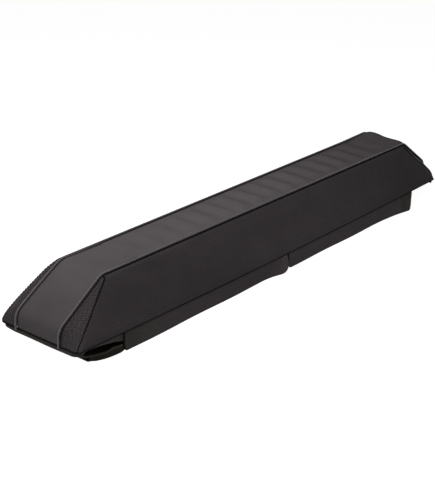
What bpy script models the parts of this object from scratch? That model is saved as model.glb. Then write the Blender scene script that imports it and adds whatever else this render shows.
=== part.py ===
"""A padded cover block for a roof rack crossbar.

A long foam block with sloping ends sits in a sewn cover. Two front flaps and two rear wraps hang
from the cover's base seams and close round the crossbar, which runs along X through the tunnel
between the base and the wraps. The floor under the wraps is z = 0, the near end is -X and the
front is -Y.
"""

import math

import bmesh
import bpy
from mathutils import Euler, Vector

# The padded block, in metres
pad_length = 0.760
base_width = 0.122
strip_width = 0.067
pad_height = 0.062
slope_run = 0.065
nose_height = 0.018
crease_radius = 0.020
nose_radius = 0.010
shoulder_out = 0.004
gusset_setback = 0.009
corner_relief = 0.0036

# The sewn cover
cover_thickness = 0.0015
seam_inset = 0.0017
gap = 0.0003
core_edge_inset = 0.0011
piping_radius = 0.0016

# The ribs across the grip strip
rib_count = 17
rib_pitch = 0.032
rib_width = 0.020
rib_height = 0.0014
rib_fade = 0.011

# The tunnel for the crossbar, and what hangs round it
tunnel_height = 0.026
flap_inset = 0.072
flap_slit = 0.003
flap_thickness = 0.0012
flap_lift = 0.0016
flap_droop = 0.0012
flap_droop_run = 0.018
flap_near_corner = 0.0027
flap_far_corner = 0.009
tape_height = 0.009
tape_thickness = 0.001
tape_inset = 0.008
tape_taper = 0.030
tape_taper_bend = 0.012
tape_taper_rise = 0.002
binding_height = 0.005
binding_width = 0.0024
binding_fold = 0.0007
wrap_thickness = 0.0015
wrap_near_inset = 0.026
wrap_far_inset = 0.080
wrap_slit = 0.016
wrap_front_height = 0.0175
wrap_lip_height = 0.010
wrap_front_radius = 0.006
wrap_rear_radius = 0.012
wrap_bead_radius = 0.0012
strip_thickness = 0.0009
strip_height = 0.009
strip_end_inset = 0.012
cutter_margin = 0.010

half_length = pad_length / 2
half_base = base_width / 2
half_strip = strip_width / 2
inner_offset = cover_thickness + gap
slope_angle = math.atan2(pad_height - nose_height, slope_run)
slope_normal = Vector((-math.sin(slope_angle), math.cos(slope_angle)))
side_angle = math.atan2(half_base - half_strip - shoulder_out, pad_height)
seam_x = half_length - slope_run - gusset_setback
piping_lift = math.sqrt((piping_radius + gap) ** 2 - seam_inset ** 2)
bead_inset = wrap_bead_radius + gap
wrap_near_reach = half_length - wrap_near_inset
wrap_far_reach = half_length - wrap_far_inset

# Turns a flat outline so that its X and Y run along world X and Z, or along world Y and Z
SIDE_VIEW = Euler((math.pi / 2, 0, 0))
END_VIEW = Euler((math.pi / 2, 0, math.pi / 2))

for old in list(bpy.data.objects):
    bpy.data.objects.remove(old)

part = bpy.data.collections.new("crossbar_pad")
cutters = bpy.data.collections.new("cutters")
for collection in (part, cutters):
    bpy.context.scene.collection.children.link(collection)


def finish(name, colour, roughness):
    """A plain material of one colour."""
    material = bpy.data.materials.new(name)
    material.use_nodes = True
    shader = material.node_tree.nodes["Principled BSDF"]
    shader.inputs["Base Color"].default_value = (*colour, 1)
    shader.inputs["Roughness"].default_value = roughness
    shader.inputs["Metallic"].default_value = 0
    return material


def place(name, data, material):
    """An object of this name that shows this mesh or curve."""
    thing = bpy.data.objects.new(name, data)
    part.objects.link(thing)
    data.materials.append(material)
    return thing


def box_piece(name, low, high, material, home=part):
    """A box between two corners, with its origin at its middle."""
    bpy.ops.mesh.primitive_cube_add(size=1)
    thing = bpy.context.object
    thing.name = name
    for owner in list(thing.users_collection):
        owner.objects.unlink(thing)
    home.objects.link(thing)
    size = Vector(high) - Vector(low)
    for vert in thing.data.vertices:
        vert.co = vert.co * size
    thing.location = (Vector(low) + Vector(high)) / 2
    if material:
        thing.data.materials.append(material)
    return thing


def mesh_from(name, bm):
    """A mesh with the faces of bm, smooth across its gentle bends."""
    mesh = bpy.data.meshes.new(name)
    bm.to_mesh(mesh)
    bm.free()
    mesh.shade_smooth()
    mesh.set_sharp_from_angle(angle=math.radians(35))
    return mesh


def solid_of(thing):
    """Replaces a curve by the mesh that it makes, with its caps welded."""
    depsgraph = bpy.context.evaluated_depsgraph_get()
    mesh = bpy.data.meshes.new_from_object(thing.evaluated_get(depsgraph))
    bm = bmesh.new()
    bm.from_mesh(mesh)
    bmesh.ops.remove_doubles(bm, verts=bm.verts, dist=0.00001)
    bm.to_mesh(mesh)
    bm.free()
    solid = bpy.data.objects.new(thing.name, mesh)
    solid.matrix_world = thing.matrix_world
    name = thing.name
    bpy.data.objects.remove(thing)
    solid.name = name
    part.objects.link(solid)
    return solid


def flat_piece(name, outline, depth, view, middle, material):
    """A flat closed outline with a depth along the third axis, centred on middle."""
    curve = bpy.data.curves.new(name, "CURVE")
    curve.dimensions = "2D"
    curve.fill_mode = "BOTH"
    curve.extrude = depth / 2
    spline = curve.splines.new("POLY")
    spline.points.add(len(outline) - 1)
    for point, (across, up) in zip(spline.points, outline):
        point.co = (across, up, 0, 1)
    spline.use_cyclic_u = True
    thing = place(name, curve, material)
    thing.rotation_euler = view
    thing.location = middle
    return thing


def round_bead(name, path, radius, material):
    """A round cord along a path of points, with closed ends."""
    curve = bpy.data.curves.new(name, "CURVE")
    curve.dimensions = "3D"
    curve.bevel_depth = radius
    curve.bevel_resolution = 1
    curve.use_fill_caps = True
    spline = curve.splines.new("POLY")
    spline.points.add(len(path) - 1)
    for point, where in zip(spline.points, path):
        point.co = (*where, 1)
    return place(name, curve, material)


def rounded(corners, radii, steps=4):
    """The open line through corners, with an arc of the given radius at each inner corner."""
    line = [Vector(corners[0])]
    for k, radius in enumerate(radii, start=1):
        corner = Vector(corners[k])
        back = (Vector(corners[k - 1]) - corner).normalized()
        onward = (Vector(corners[k + 1]) - corner).normalized()
        half = back.angle(onward) / 2
        centre = corner + (back + onward).normalized() * radius / math.sin(half)
        reach = radius / math.tan(half)
        start = corner + back * reach - centre
        end = corner + onward * reach - centre
        for step in range(steps + 1):
            line.append(centre + start.lerp(end, step / steps).normalized() * radius)
    line.append(Vector(corners[-1]))
    return line


def pushed(corner, normal_a, normal_b, outward):
    """A corner of an outline after both of its sides have moved outward."""
    both = Vector(normal_a) + Vector(normal_b)
    return Vector(corner) + both * outward / (1 + Vector(normal_a).dot(normal_b))


def strip_half_line(outward):
    """Side view of the near half of the grip strip, from the foot of the nose to the top."""
    foot = Vector((-half_length - outward, 0))
    nose = pushed((-half_length, nose_height), (-1, 0), slope_normal, outward)
    crease = pushed((slope_run - half_length, pad_height), slope_normal, (0, 1), outward)
    top = Vector((0, pad_height + outward))
    return rounded([foot, nose, crease, top], [nose_radius + outward, crease_radius + outward])[:-1]


def strip_line(outward, top_points=()):
    """Side view of the whole grip strip, with extra points along its top."""
    near = strip_half_line(outward)
    far = [Vector((-point.x, point.y)) for point in reversed(near)]
    return near + [Vector(point) for point in top_points] + far


def side_line(outward):
    """End view of one long side, from the piping over the shoulder to the base seam."""
    side_normal = Vector((math.cos(side_angle), math.sin(side_angle)))
    shoulder = pushed((half_strip + shoulder_out, pad_height), (0, 1), side_normal, outward)
    start = Vector((half_strip, pad_height + outward))
    foot = Vector((half_base, 0)) + side_normal * outward
    turn = math.pi / 2 - side_angle
    radius = (shoulder.x - start.x) / math.tan(turn / 2)
    return rounded([start, shoulder, foot], [radius])


def block_hull(outward=0.0, edge_inset=0.0, corner_inset=0.0, foot=0.0):
    """The closed outer form of the block, moved outward, with its floor at foot."""
    half_width = half_strip - edge_inset
    points = [(p.x, y, max(p.y, foot)) for p in strip_line(outward) for y in (-half_width, half_width)]
    for x in (-seam_x, seam_x):
        for y in (-1, 1):
            points += [(x, y * p.x, p.y) for p in side_line(outward)[:-1]]
    corner = (half_length - corner_inset, half_base - corner_inset)
    points += [(x * corner[0], y * corner[1], foot) for x in (-1, 1) for y in (-1, 1)]
    bm = bmesh.new()
    for x, y, z in points:
        bm.verts.new((x, y, z + tunnel_height))
    bmesh.ops.remove_doubles(bm, verts=bm.verts, dist=0.00001)
    made = bmesh.ops.convex_hull(bm, input=bm.verts)
    unused = [v for v in made["geom_interior"] if isinstance(v, bmesh.types.BMVert)]
    bmesh.ops.delete(bm, geom=unused, context="VERTS")
    bmesh.ops.recalc_face_normals(bm, faces=bm.faces)
    return bm


def trimmed(bm, planes):
    """Keeps the part of an open surface that lies behind each plane of a point and a normal."""
    for point, normal in planes:
        everything = list(bm.verts) + list(bm.edges) + list(bm.faces)
        bmesh.ops.bisect_plane(
            bm, geom=everything, dist=0.000001, plane_co=point, plane_no=normal, clear_outer=True
        )


def seam_plane(end, side, shift):
    """The plane down one end seam of a long side, moved by shift towards the block's end."""
    top = Vector((end * seam_x, side * half_strip, pad_height + tunnel_height))
    foot = Vector((end * half_length, side * half_base, tunnel_height))
    outward = Vector((0, side * math.cos(side_angle), math.sin(side_angle)))
    normal = (foot - top).cross(outward).normalized()
    if normal.x * end < 0:
        normal.negate()
    return top + normal * shift, normal


def panel(name, bm, thickness, material):
    """A sheet of fabric with this outer face."""
    thing = place(name, mesh_from(name, bm), material)
    wall = thing.modifiers.new("thickness", "SOLIDIFY")
    wall.thickness = thickness
    wall.offset = -1
    wall.use_even_offset = True
    return thing


def foam_core():
    """The block of closed-cell foam that fills the cover."""
    bm = block_hull(-inner_offset, core_edge_inset, corner_relief, inner_offset)
    place("foam_core", mesh_from("foam_core", bm), finish("foam", (0.16, 0.16, 0.17), 0.9))


def top_panel():
    """The grip strip: one length of coated fabric over both noses, both slopes and the ribbed top."""
    first = -(rib_count - 1) / 2 * rib_pitch
    crests = []
    for rib in range(rib_count):
        for quarter in (-2, -1, 0, 1, 2):
            swell = 0.5 + 0.5 * math.cos(quarter * math.pi / 2)
            crests.append((first + rib * rib_pitch + quarter * rib_width / 4, swell * rib_height))
    line = strip_line(0, [(x, pad_height) for x, _ in crests])
    lifts = dict((round(x, 6), lift) for x, lift in crests)
    edge = half_strip - seam_inset
    rows = [-edge, rib_fade - edge, edge - rib_fade, edge]
    bm = bmesh.new()
    grid = bmesh.ops.create_grid(bm, x_segments=len(line) - 1, y_segments=len(rows) - 1, size=1)
    for vert in grid["verts"]:
        column = round((vert.co.x + 1) / 2 * (len(line) - 1))
        row = round((vert.co.y + 1) / 2 * (len(rows) - 1))
        point = line[column]
        lift = lifts.get(round(point.x, 6), 0) if 0 < row < len(rows) - 1 else 0
        vert.co = (point.x, rows[row], point.y + lift + tunnel_height)
    trimmed(bm, [((0, 0, tunnel_height + gap), (0, 0, -1))])
    panel("top_panel", bm, cover_thickness, finish("grip_fabric", (0.075, 0.074, 0.08), 0.55))


def side_panel(name, side, material):
    """A long side of the cover, from the piping down to the base seam."""
    bm = block_hull()
    above_floor = ((0, 0, tunnel_height + gap), (0, 0, -1))
    beyond_piping = ((0, side * (half_strip + seam_inset), 0), (0, -side, 0))
    ends = [seam_plane(end, side, -gap / 2) for end in (-1, 1)]
    trimmed(bm, [above_floor, beyond_piping, *ends])
    panel(name, bm, cover_thickness, material)


def gusset(name, end, side, material):
    """The corner piece between the sloping strip and a long side's end seam."""
    bm = block_hull()
    above_floor = ((0, 0, tunnel_height + gap), (0, 0, -1))
    beyond_piping = ((0, side * (half_strip + seam_inset), 0), (0, -side, 0))
    seam, normal = seam_plane(end, side, seam_inset)
    trimmed(bm, [above_floor, beyond_piping, (seam, -normal)])
    panel(name, bm, cover_thickness, material)


def base_panel():
    """The flat fabric underside, inside the foot of the sides."""
    side_foot = cover_thickness / math.cos(side_angle) + cover_thickness * math.tan(side_angle)
    tape_depth = max(wrap_thickness, flap_thickness) + gap + tape_thickness
    reach_x = half_length - corner_relief
    reach_y = half_base - max(side_foot, tape_depth) - gap
    low = (-reach_x, -reach_y, tunnel_height)
    high = (reach_x, reach_y, tunnel_height + cover_thickness)
    box_piece("base_panel", low, high, finish("base_fabric", (0.03, 0.03, 0.032), 0.85))


def piping(name, side, material):
    """The corded seam along one edge of the grip strip, down both slopes to the base."""
    line = strip_line(piping_lift)
    foot = Vector((line[0].x, piping_radius))
    line[0] = foot
    line[-1] = Vector((-foot.x, foot.y))
    path = [(p.x, side * half_strip, p.y + tunnel_height) for p in line]
    round_bead(name, path, piping_radius, material)


def end_binding(name, end, material):
    """The folded tape that hangs under a nose, along the base seam."""
    outer_x = end * (half_length - gap)
    inner_x = end * (half_length - gap - binding_width)
    reach_y = half_base - flap_thickness - tape_thickness - 2 * gap
    low = (min(outer_x, inner_x), -reach_y, tunnel_height - gap - binding_height)
    high = (max(outer_x, inner_x), reach_y, tunnel_height - gap)
    fold = box_piece(name, low, high, material).modifiers.new("fold", "BEVEL")
    fold.width = binding_fold
    fold.segments = 2


def root_tape(name, side, behind, near_end, far_end, material):
    """The tape sewn into a long base seam, behind the flaps or wraps that hang there."""
    foot = tunnel_height - tape_height
    top = tunnel_height - gap
    near_top = tunnel_height - binding_height / 2
    outline = [
        (near_end, near_top),
        (near_end + tape_taper_bend, foot + tape_taper_rise),
        (near_end + tape_taper, foot),
        (far_end, foot),
        (far_end, top),
        (near_end, top),
    ]
    outer_face = half_base - behind - gap
    middle = (0, side * (outer_face - tape_thickness / 2), 0)
    flat_piece(name, outline, tape_thickness, SIDE_VIEW, middle, material)


def front_flap(name, near_end, far_end, material):
    """A flap that hangs outside the front base seam, with its lower corners rounded."""
    top = tunnel_height - gap
    corners = [
        (near_end, top),
        (near_end, flap_lift),
        (far_end - flap_droop_run, flap_lift),
        (far_end, flap_lift - flap_droop),
        (far_end, top),
    ]
    outline = rounded(corners, [flap_near_corner, flap_far_corner, flap_far_corner])
    middle = (0, flap_thickness / 2 - half_base, 0)
    flat_piece(name, outline, flap_thickness, SIDE_VIEW, middle, material)


def layer_face(layers):
    """How far behind the front the face of the layer under this many strips lies."""
    return half_base - flap_thickness - gap - layers * (strip_thickness + gap)


def wrap_section(shrink, front_height):
    """End view of a rear wrap, moved inward by shrink: rear wall, floor and upturned front."""
    rear = half_base - shrink
    front = shrink - layer_face(2)
    return rounded(
        [(rear, tunnel_height - gap), (rear, shrink), (front, shrink), (front, front_height)],
        [wrap_rear_radius - shrink, wrap_front_radius - shrink],
    )


def rear_wrap(name, near_end, far_end, material):
    """The sling that hangs from the rear base seam and passes under the bar to the front."""
    outer = wrap_section(0, wrap_front_height)
    inner = wrap_section(wrap_thickness, wrap_front_height)
    middle = ((near_end + far_end) / 2, 0, 0)
    outline = outer + inner[::-1]
    return flat_piece(name, outline, far_end - near_end, END_VIEW, middle, material)


def lip_cut(wrap):
    """Lowers the upturned front of the near wrap where no front flap covers it."""
    flap_end = flap_inset - half_length
    low = (-wrap_near_reach - cutter_margin, -half_base, wrap_lip_height)
    high = (flap_end, cutter_margin - layer_face(2), tunnel_height)
    box = box_piece("lip_cutter", low, high, None, cutters)
    box.hide_render = True
    box.display_type = "WIRE"
    cut = solid_of(wrap).modifiers.new("lip", "BOOLEAN")
    cut.operation = "DIFFERENCE"
    cut.object = box


def wrap_bead(name, end, reach, front_height, lip_end, material):
    """The bound edge of a wrap: across its mouth, then along its front lip where that shows."""
    section = wrap_section(bead_inset, front_height)
    section[0].y = tunnel_height - tape_height - gap
    x = end * (reach + bead_inset)
    path = [(x, p.x, p.y) for p in section]
    if lip_end is not None:
        over = front_height + bead_inset
        path[-1] = (x, path[-1][1], over)
        path.append((lip_end, path[-1][1], over))
    round_bead(name, path, wrap_bead_radius, material)


def closure_strip(name, layer, foot, near_end, far_end, material):
    """One half of the hook and loop closure, in the given layer behind a front flap."""
    outline = [
        (near_end, foot),
        (far_end, foot),
        (far_end, foot + strip_height),
        (near_end, foot + strip_height),
    ]
    middle = (0, strip_thickness / 2 - layer_face(layer), 0)
    flat_piece(name, outline, strip_thickness, SIDE_VIEW, middle, material)


grip_cord = finish("piping_cord", (0.085, 0.085, 0.09), 0.5)
side_weave = finish("side_weave", (0.022, 0.022, 0.024), 0.8)
gusset_weave = finish("gusset_weave", (0.034, 0.034, 0.036), 0.8)
edge_tape = finish("edge_tape", (0.03, 0.03, 0.031), 0.75)
flap_weave = finish("flap_weave", (0.026, 0.026, 0.024), 0.85)
wrap_weave = finish("wrap_weave", (0.012, 0.012, 0.012), 0.9)
loop_pile = finish("loop_pile", (0.02, 0.02, 0.021), 0.95)
hook_pile = finish("hook_pile", (0.012, 0.012, 0.013), 0.6)

foam_core()
top_panel()
base_panel()
sides = {"front": -1, "rear": 1}
ends = {"near": -1, "far": 1}
for side_name, side in sides.items():
    side_panel(f"{side_name}_side_panel", side, side_weave)
    piping(f"{side_name}_piping", side, grip_cord)
    for end_name, end in ends.items():
        gusset(f"{end_name}_{side_name}_gusset", end, side, gusset_weave)
for end_name, end in ends.items():
    end_binding(f"{end_name}_end_binding", end, edge_tape)

flap_reach = half_length - flap_inset
tape_start = tape_inset - half_length
root_tape("front_root_tape", -1, flap_thickness, tape_start, flap_reach, edge_tape)
root_tape("rear_root_tape", 1, wrap_thickness, tape_start, flap_reach, edge_tape)
front_flap("near_front_flap", -flap_reach, -flap_slit / 2, flap_weave)
front_flap("far_front_flap", flap_slit / 2, flap_reach, flap_weave)

near_wrap = rear_wrap("near_rear_wrap", -wrap_near_reach, -wrap_slit / 2, wrap_weave)
lip_cut(near_wrap)
rear_wrap("far_rear_wrap", wrap_slit / 2, wrap_far_reach, wrap_weave)
wrap_bead("near_wrap_binding", -1, wrap_near_reach, wrap_lip_height, -flap_reach, edge_tape)
wrap_bead("far_wrap_binding", 1, wrap_far_reach, wrap_front_height, None, edge_tape)

strip_foot = wrap_front_radius + gap
for end_name, end in ends.items():
    inner_x = end * (wrap_slit / 2 + strip_end_inset)
    outer_x = end * (wrap_far_reach - strip_end_inset)
    span = sorted((inner_x, outer_x))
    closure_strip(f"{end_name}_loop_strip", 0, strip_foot, *span, loop_pile)
    closure_strip(f"{end_name}_hook_strip", 1, strip_foot, *span, hook_pile)
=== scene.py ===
import math

import bpy
import numpy as np
from mathutils import Matrix, Vector


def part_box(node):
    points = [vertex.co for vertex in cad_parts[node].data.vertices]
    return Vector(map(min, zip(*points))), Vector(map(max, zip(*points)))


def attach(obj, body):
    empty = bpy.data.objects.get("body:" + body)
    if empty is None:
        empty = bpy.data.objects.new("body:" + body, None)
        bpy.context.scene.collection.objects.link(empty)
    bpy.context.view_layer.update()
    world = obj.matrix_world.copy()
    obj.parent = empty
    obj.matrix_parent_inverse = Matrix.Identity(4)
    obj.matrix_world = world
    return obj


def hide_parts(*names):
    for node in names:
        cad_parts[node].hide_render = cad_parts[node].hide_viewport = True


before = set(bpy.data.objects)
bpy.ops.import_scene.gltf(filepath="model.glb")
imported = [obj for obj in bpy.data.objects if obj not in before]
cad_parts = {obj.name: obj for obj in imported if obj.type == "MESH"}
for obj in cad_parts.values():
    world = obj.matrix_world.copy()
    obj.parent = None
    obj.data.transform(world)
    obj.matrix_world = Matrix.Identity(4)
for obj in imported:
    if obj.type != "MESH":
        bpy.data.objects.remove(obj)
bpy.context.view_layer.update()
scene = bpy.context.scene
scene.view_settings.view_transform = "Standard"


# The view and the studio. The photograph is taken with a long lens from the near front corner, a
# little above the pad, and tilted by a degree and a half.

image_width = 435
sensor_width = 36
focal_pixels = 1207
view_azimuth = math.radians(-51.5)
view_elevation = math.radians(22.8)
view_roll = math.radians(1.5)
view_distance = 1.452
view_target = Vector((-0.128, -0.0463, 0.066))

back = Vector((
    math.sin(view_azimuth) * math.cos(view_elevation),
    -math.cos(view_azimuth) * math.cos(view_elevation),
    math.sin(view_elevation),
))
level_right = Vector((math.cos(view_azimuth), math.sin(view_azimuth), 0))
level_up = back.cross(level_right)
right = math.cos(view_roll) * level_right + math.sin(view_roll) * level_up
up = math.cos(view_roll) * level_up - math.sin(view_roll) * level_right
lens = bpy.data.cameras.new("camera")
lens.sensor_fit = "HORIZONTAL"
lens.sensor_width = sensor_width
lens.lens = focal_pixels * sensor_width / image_width
camera = bpy.data.objects.new("camera", lens)
camera.matrix_world = Matrix.Translation(view_target + back * view_distance) @ Matrix(
    (right, up, back)
).transposed().to_4x4()
scene.collection.objects.link(camera)
scene.camera = camera


class Wire:
    """A value inside a material's tree. + - * and / with numbers or other wires add Math nodes."""

    def __init__(self, tree, socket=None):
        self.tree = tree
        self.socket = socket

    def node(self, kind, settings, sockets, output=0):
        """Adds a node of any kind: its settings first, then the values or wires of its sockets."""
        made = self.tree.nodes.new(kind)
        for name, value in settings.items():
            setattr(made, name, value)
        for name, value in sockets.items():
            if isinstance(value, Wire):
                self.tree.links.new(value.socket, made.inputs[name])
            else:
                made.inputs[name].default_value = value
        return Wire(self.tree, made.outputs[output] if made.outputs else None)

    def math(self, operation, *others):
        sockets = dict(enumerate((self, *others)))
        return self.node("ShaderNodeMath", {"operation": operation}, sockets)

    def __add__(self, other):
        return self.math("ADD", other)

    def __mul__(self, other):
        return self.math("MULTIPLY", other)

    def __sub__(self, other):
        return self.math("SUBTRACT", other)

    def __truediv__(self, other):
        return self.math("DIVIDE", other)

    def __rsub__(self, other):
        return self * -1 + other

    __radd__ = __add__
    __rmul__ = __mul__

    def clamped(self, low, high):
        """0 below low, 1 above high and even between."""
        settings = {"interpolation_type": "SMOOTHSTEP"}
        return self.node("ShaderNodeMapRange", settings, {0: self, 1: low, 2: high, 3: 0.0, 4: 1.0})

    def mixed(self, dark, light):
        """The colour from dark to light at this share. Either may be a wire."""
        ends = {6: dark, 7: light}
        ends = {key: c if isinstance(c, Wire) else (*c, 1) for key, c in ends.items()}
        return self.node("ShaderNodeMix", {"data_type": "RGBA"}, {0: self, **ends}, 2)


def studio_tree(owner):
    """The emptied node tree of a material or the world, as a bare wire."""
    owner.use_nodes = True
    owner.node_tree.nodes.clear()
    return Wire(owner.node_tree)


def seen_directly(bare):
    """1 for what the camera, a mirror or glass sees, and 0 for light that falls on the object."""
    path = bare.tree.nodes.new("ShaderNodeLightPath")
    camera_ray, glossy, through = (
        Wire(bare.tree, path.outputs[name])
        for name in ("Is Camera Ray", "Is Glossy Ray", "Is Transmission Ray")
    )
    return camera_ray.math("MAXIMUM", glossy).math("MAXIMUM", through)


sky_strength = 0.02
world = bpy.data.worlds.new("studio")
scene.world = world
bare = studio_tree(world)
seen = seen_directly(bare)
strength = seen * (1 - sky_strength) + sky_strength
sky = bare.node("ShaderNodeBackground", {}, {"Color": (1, 1, 1, 1), "Strength": strength})
bare.node("ShaderNodeOutputWorld", {}, {"Surface": sky})

floor_size = 14
floor_glow = 0.96
floor_mesh = bpy.data.meshes.new("floor")
reach = floor_size / 2
floor_mesh.from_pydata(
    [(-reach, -reach, 0), (reach, -reach, 0), (reach, reach, 0), (-reach, reach, 0)],
    [],
    [(0, 1, 2, 3)],
)
floor = bpy.data.objects.new("floor", floor_mesh)
scene.collection.objects.link(floor)
floor_finish = bpy.data.materials.new("pale floor")
bare = studio_tree(floor_finish)
paper = bare.node("ShaderNodeBsdfDiffuse", {}, {"Color": (0.5, 0.5, 0.5, 1)})
shown = seen_directly(bare) * floor_glow
glow = bare.node("ShaderNodeEmission", {}, {"Color": (1, 1, 1, 1), "Strength": shown})
both = bare.node("ShaderNodeAddShader", {}, {0: paper, 1: glow})
bare.node("ShaderNodeOutputMaterial", {}, {"Surface": both})
floor_mesh.materials.append(floor_finish)


def soft_lamp(name, place, aim, width, height, power):
    """A rectangular soft lamp at place that faces aim."""
    light = bpy.data.lights.new(name, "AREA")
    light.shape = "RECTANGLE"
    light.size = width
    light.size_y = height
    light.energy = power
    lamp = bpy.data.objects.new(name, light)
    toward = Vector(aim) - Vector(place)
    lamp.matrix_world = Matrix.Translation(place) @ toward.to_track_quat("-Z", "Y").to_matrix().to_4x4()
    scene.collection.objects.link(lamp)


soft_lamp("key lamp", (-0.16, 0.02, 0.68), (-0.14, 0, 0.05), 0.5, 0.5, 2.7)
soft_lamp("front lamp", (-0.05, -1.1, 0.75), (-0.02, 0, 0.04), 1.0, 0.8, 1.2)
soft_lamp("near lamp", (-1.3, -0.3, 0.6), (-0.3, 0, 0.05), 0.8, 0.8, 5.8)


# Foam core: one block of closed-cell foam, cut to the pad's form. Both ends slope down from a crease
# to a blunt nose, and the long sides lean in from the base seam to a rounded shoulder. The sewn
# cover takes its form from the foam and hides it. The foam's skin is grey with fine cells.

base_low, base_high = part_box("base_panel")
base_z = base_low[2]
half_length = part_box("top_panel")[1][0]
half_base = -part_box("front_side_panel")[0][1]
half_strip = 0.0335
pad_height = 0.062
pad_middle = (0, 0, 0.04)
slope_run = 0.065
nose_height = 0.018
crease_radius = 0.020
nose_radius = 0.016
shoulder_out = 0.004
seam_start = half_length - slope_run - 0.001
slope_angle = math.atan2(pad_height - nose_height, slope_run)
side_angle = math.atan2(half_base - half_strip - shoulder_out, pad_height)
slope_normal = (-math.sin(slope_angle), math.cos(slope_angle))


def unit(vectors):
    """The same vectors at length 1."""
    return vectors / np.linalg.norm(vectors, axis=-1, keepdims=True)


def rounded_line(corners, radii, steps=9):
    """The open line through corners, with an arc of the given radius at each inner corner."""
    corners = [np.array(corner, float) for corner in corners]
    line = [corners[:1]]
    for before, corner, after, radius in zip(corners, corners[1:], corners[2:], radii):
        back_way = unit(before - corner)
        onward = unit(after - corner)
        half = math.acos(np.dot(back_way, onward)) / 2
        middle = unit(back_way + onward)
        centre = corner + middle * radius / math.sin(half)
        turn = np.linspace(half - math.pi / 2, math.pi / 2 - half, steps)[:, None]
        side = unit(onward - back_way)
        line.append(centre + radius * (np.sin(turn) * side - np.cos(turn) * middle))
    line.append(corners[-1:])
    return np.concatenate(line)


def moved_corner(corner, normal_a, normal_b, outward):
    """Where two sides of an outline meet once both have moved outward."""
    a, b = np.array(normal_a), np.array(normal_b)
    return np.array(corner) + (a + b) * outward / (1 + a @ b)


def strip_line(outward):
    """Side view, x and z, over nose, slope, top, slope and nose, moved outward."""
    nose = moved_corner((-half_length, nose_height), (-1, 0), slope_normal, outward)
    crease = moved_corner((slope_run - half_length, pad_height), slope_normal, (0, 1), outward)
    corners = [(-half_length - outward, 0), nose, crease, (0, pad_height + outward)]
    near = rounded_line(corners, [nose_radius + outward, crease_radius + outward])[:-1]
    return np.concatenate([near, near[::-1] * (-1, 1)])


def side_line(outward):
    """End view, y and z with y outward, from the piping over the shoulder to the base seam."""
    normal = (math.cos(side_angle), math.sin(side_angle))
    shoulder = moved_corner((half_strip + shoulder_out, pad_height), (0, 1), normal, outward)
    foot = np.array((half_base, 0)) + np.array(normal) * outward
    radius = (shoulder[0] - half_strip) / math.tan((math.pi / 2 - side_angle) / 2)
    return rounded_line([(half_strip, pad_height + outward), shoulder, foot], [radius], 12)


def seam_reach(z):
    """How far from the middle a side's end seam lies at each height above the base."""
    shoulder = pad_height - 0.003
    return np.interp(z, [0, shoulder, pad_height], [half_length, seam_start, seam_start + 0.0025])


def strip_reach(z):
    """How far from the middle the strip lies at each height above the base."""
    line = strip_line(0)
    far = line[len(line) // 2:]
    return np.interp(z, far[::-1, 1], far[::-1, 0])


heights = pad_height * np.sin(np.linspace(0, math.pi / 2, 61))
side_out = np.interp(heights, side_line(0)[::-1, 1], side_line(0)[::-1, 0])


def eased(value):
    """0 up to 0, 1 from 1 on, and smooth between."""
    share = np.clip(value, 0, 1)
    return share * share * (3 - 2 * share)


strip_drawn_in = 0.0056
near_corner_full = 0.0034
rear_shoulder_full = 0.0038
full_way = np.array((-0.236, 0.732, 0.645))
far_slope_out = 0.0055
rear_edge_up = 0.0013
far_tip_up = 0.0026
far_crease_up = 0.0054
far_crease_rear_up = 0.0018
far_corner_blunt = 0.0028


def settled(points):
    """Points of the cover once the stuffing and the seams have pulled it out of true. The strip's
    rear edge is drawn in towards the near end, and lies higher, most of all at the far end. The near
    rear corner and the rear shoulder are fuller. The far slope stands further out, its crease is
    crowned, and the front corner of its nose is blunt. Each of these is a size times shares from 0
    to 1, which fade over the lengths below with x, with y or with the height above the base."""
    x, y, z = points[..., 0], points[..., 1], points[..., 2]
    height = np.clip((z - base_z) / pad_height, 0, 1)
    rear = eased(y / half_strip)
    past_seam = eased((y - half_strip - 0.001) / 0.008)
    past_front = eased((-y - half_strip - 0.0005) / 0.004)
    drawn_in = strip_drawn_in * np.clip((0.28 - x) / 0.6, 0, 1) * height ** 2.5 * rear
    from_end = np.clip(x + seam_reach(z - base_z), 0, None)
    full = near_corner_full * (1 - np.exp(-height / 0.05)) * np.exp(-((from_end / 0.06) ** 2))
    full = np.where(x < 0, full, 0)
    full = full + rear_shoulder_full * eased((x + 0.25) / 0.15) * eased(height / 0.6)
    stands_out = far_slope_out * eased((x - 0.25) / 0.06) * eased(height / 0.22)
    stands_out = stands_out * (1 - 0.8 * past_front * eased((height - 0.25) / 0.35))
    lifted = rear_edge_up * (1 + eased((x - 0.25) / 0.07)) * height ** 2 * rear
    lifted = lifted + far_tip_up * np.exp(-((x - 0.342) / 0.018) ** 2) * rear
    crown = far_crease_up + far_crease_rear_up * np.exp(-((y - 0.016) / 0.014) ** 2)
    crown = crown * np.clip(1 - (y / half_strip) ** 8, 0, 1) * np.exp(-((x - 0.33) / 0.035) ** 2)
    blunt = far_corner_blunt * eased((x - 0.352) / 0.028) * eased((-y - 0.038) / 0.02)
    blunt = blunt * np.clip(1 - height / 0.12, 0, 1)
    move = np.stack([stands_out - blunt, -drawn_in, crown + lifted], -1)
    return points + move + (full * past_seam)[..., None] * full_way


def spread(*coordinates):
    """The points whose coordinates are these, where each may vary along the rows, the columns, both
    or neither."""
    return np.stack(np.broadcast_arrays(*coordinates), -1)


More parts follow.
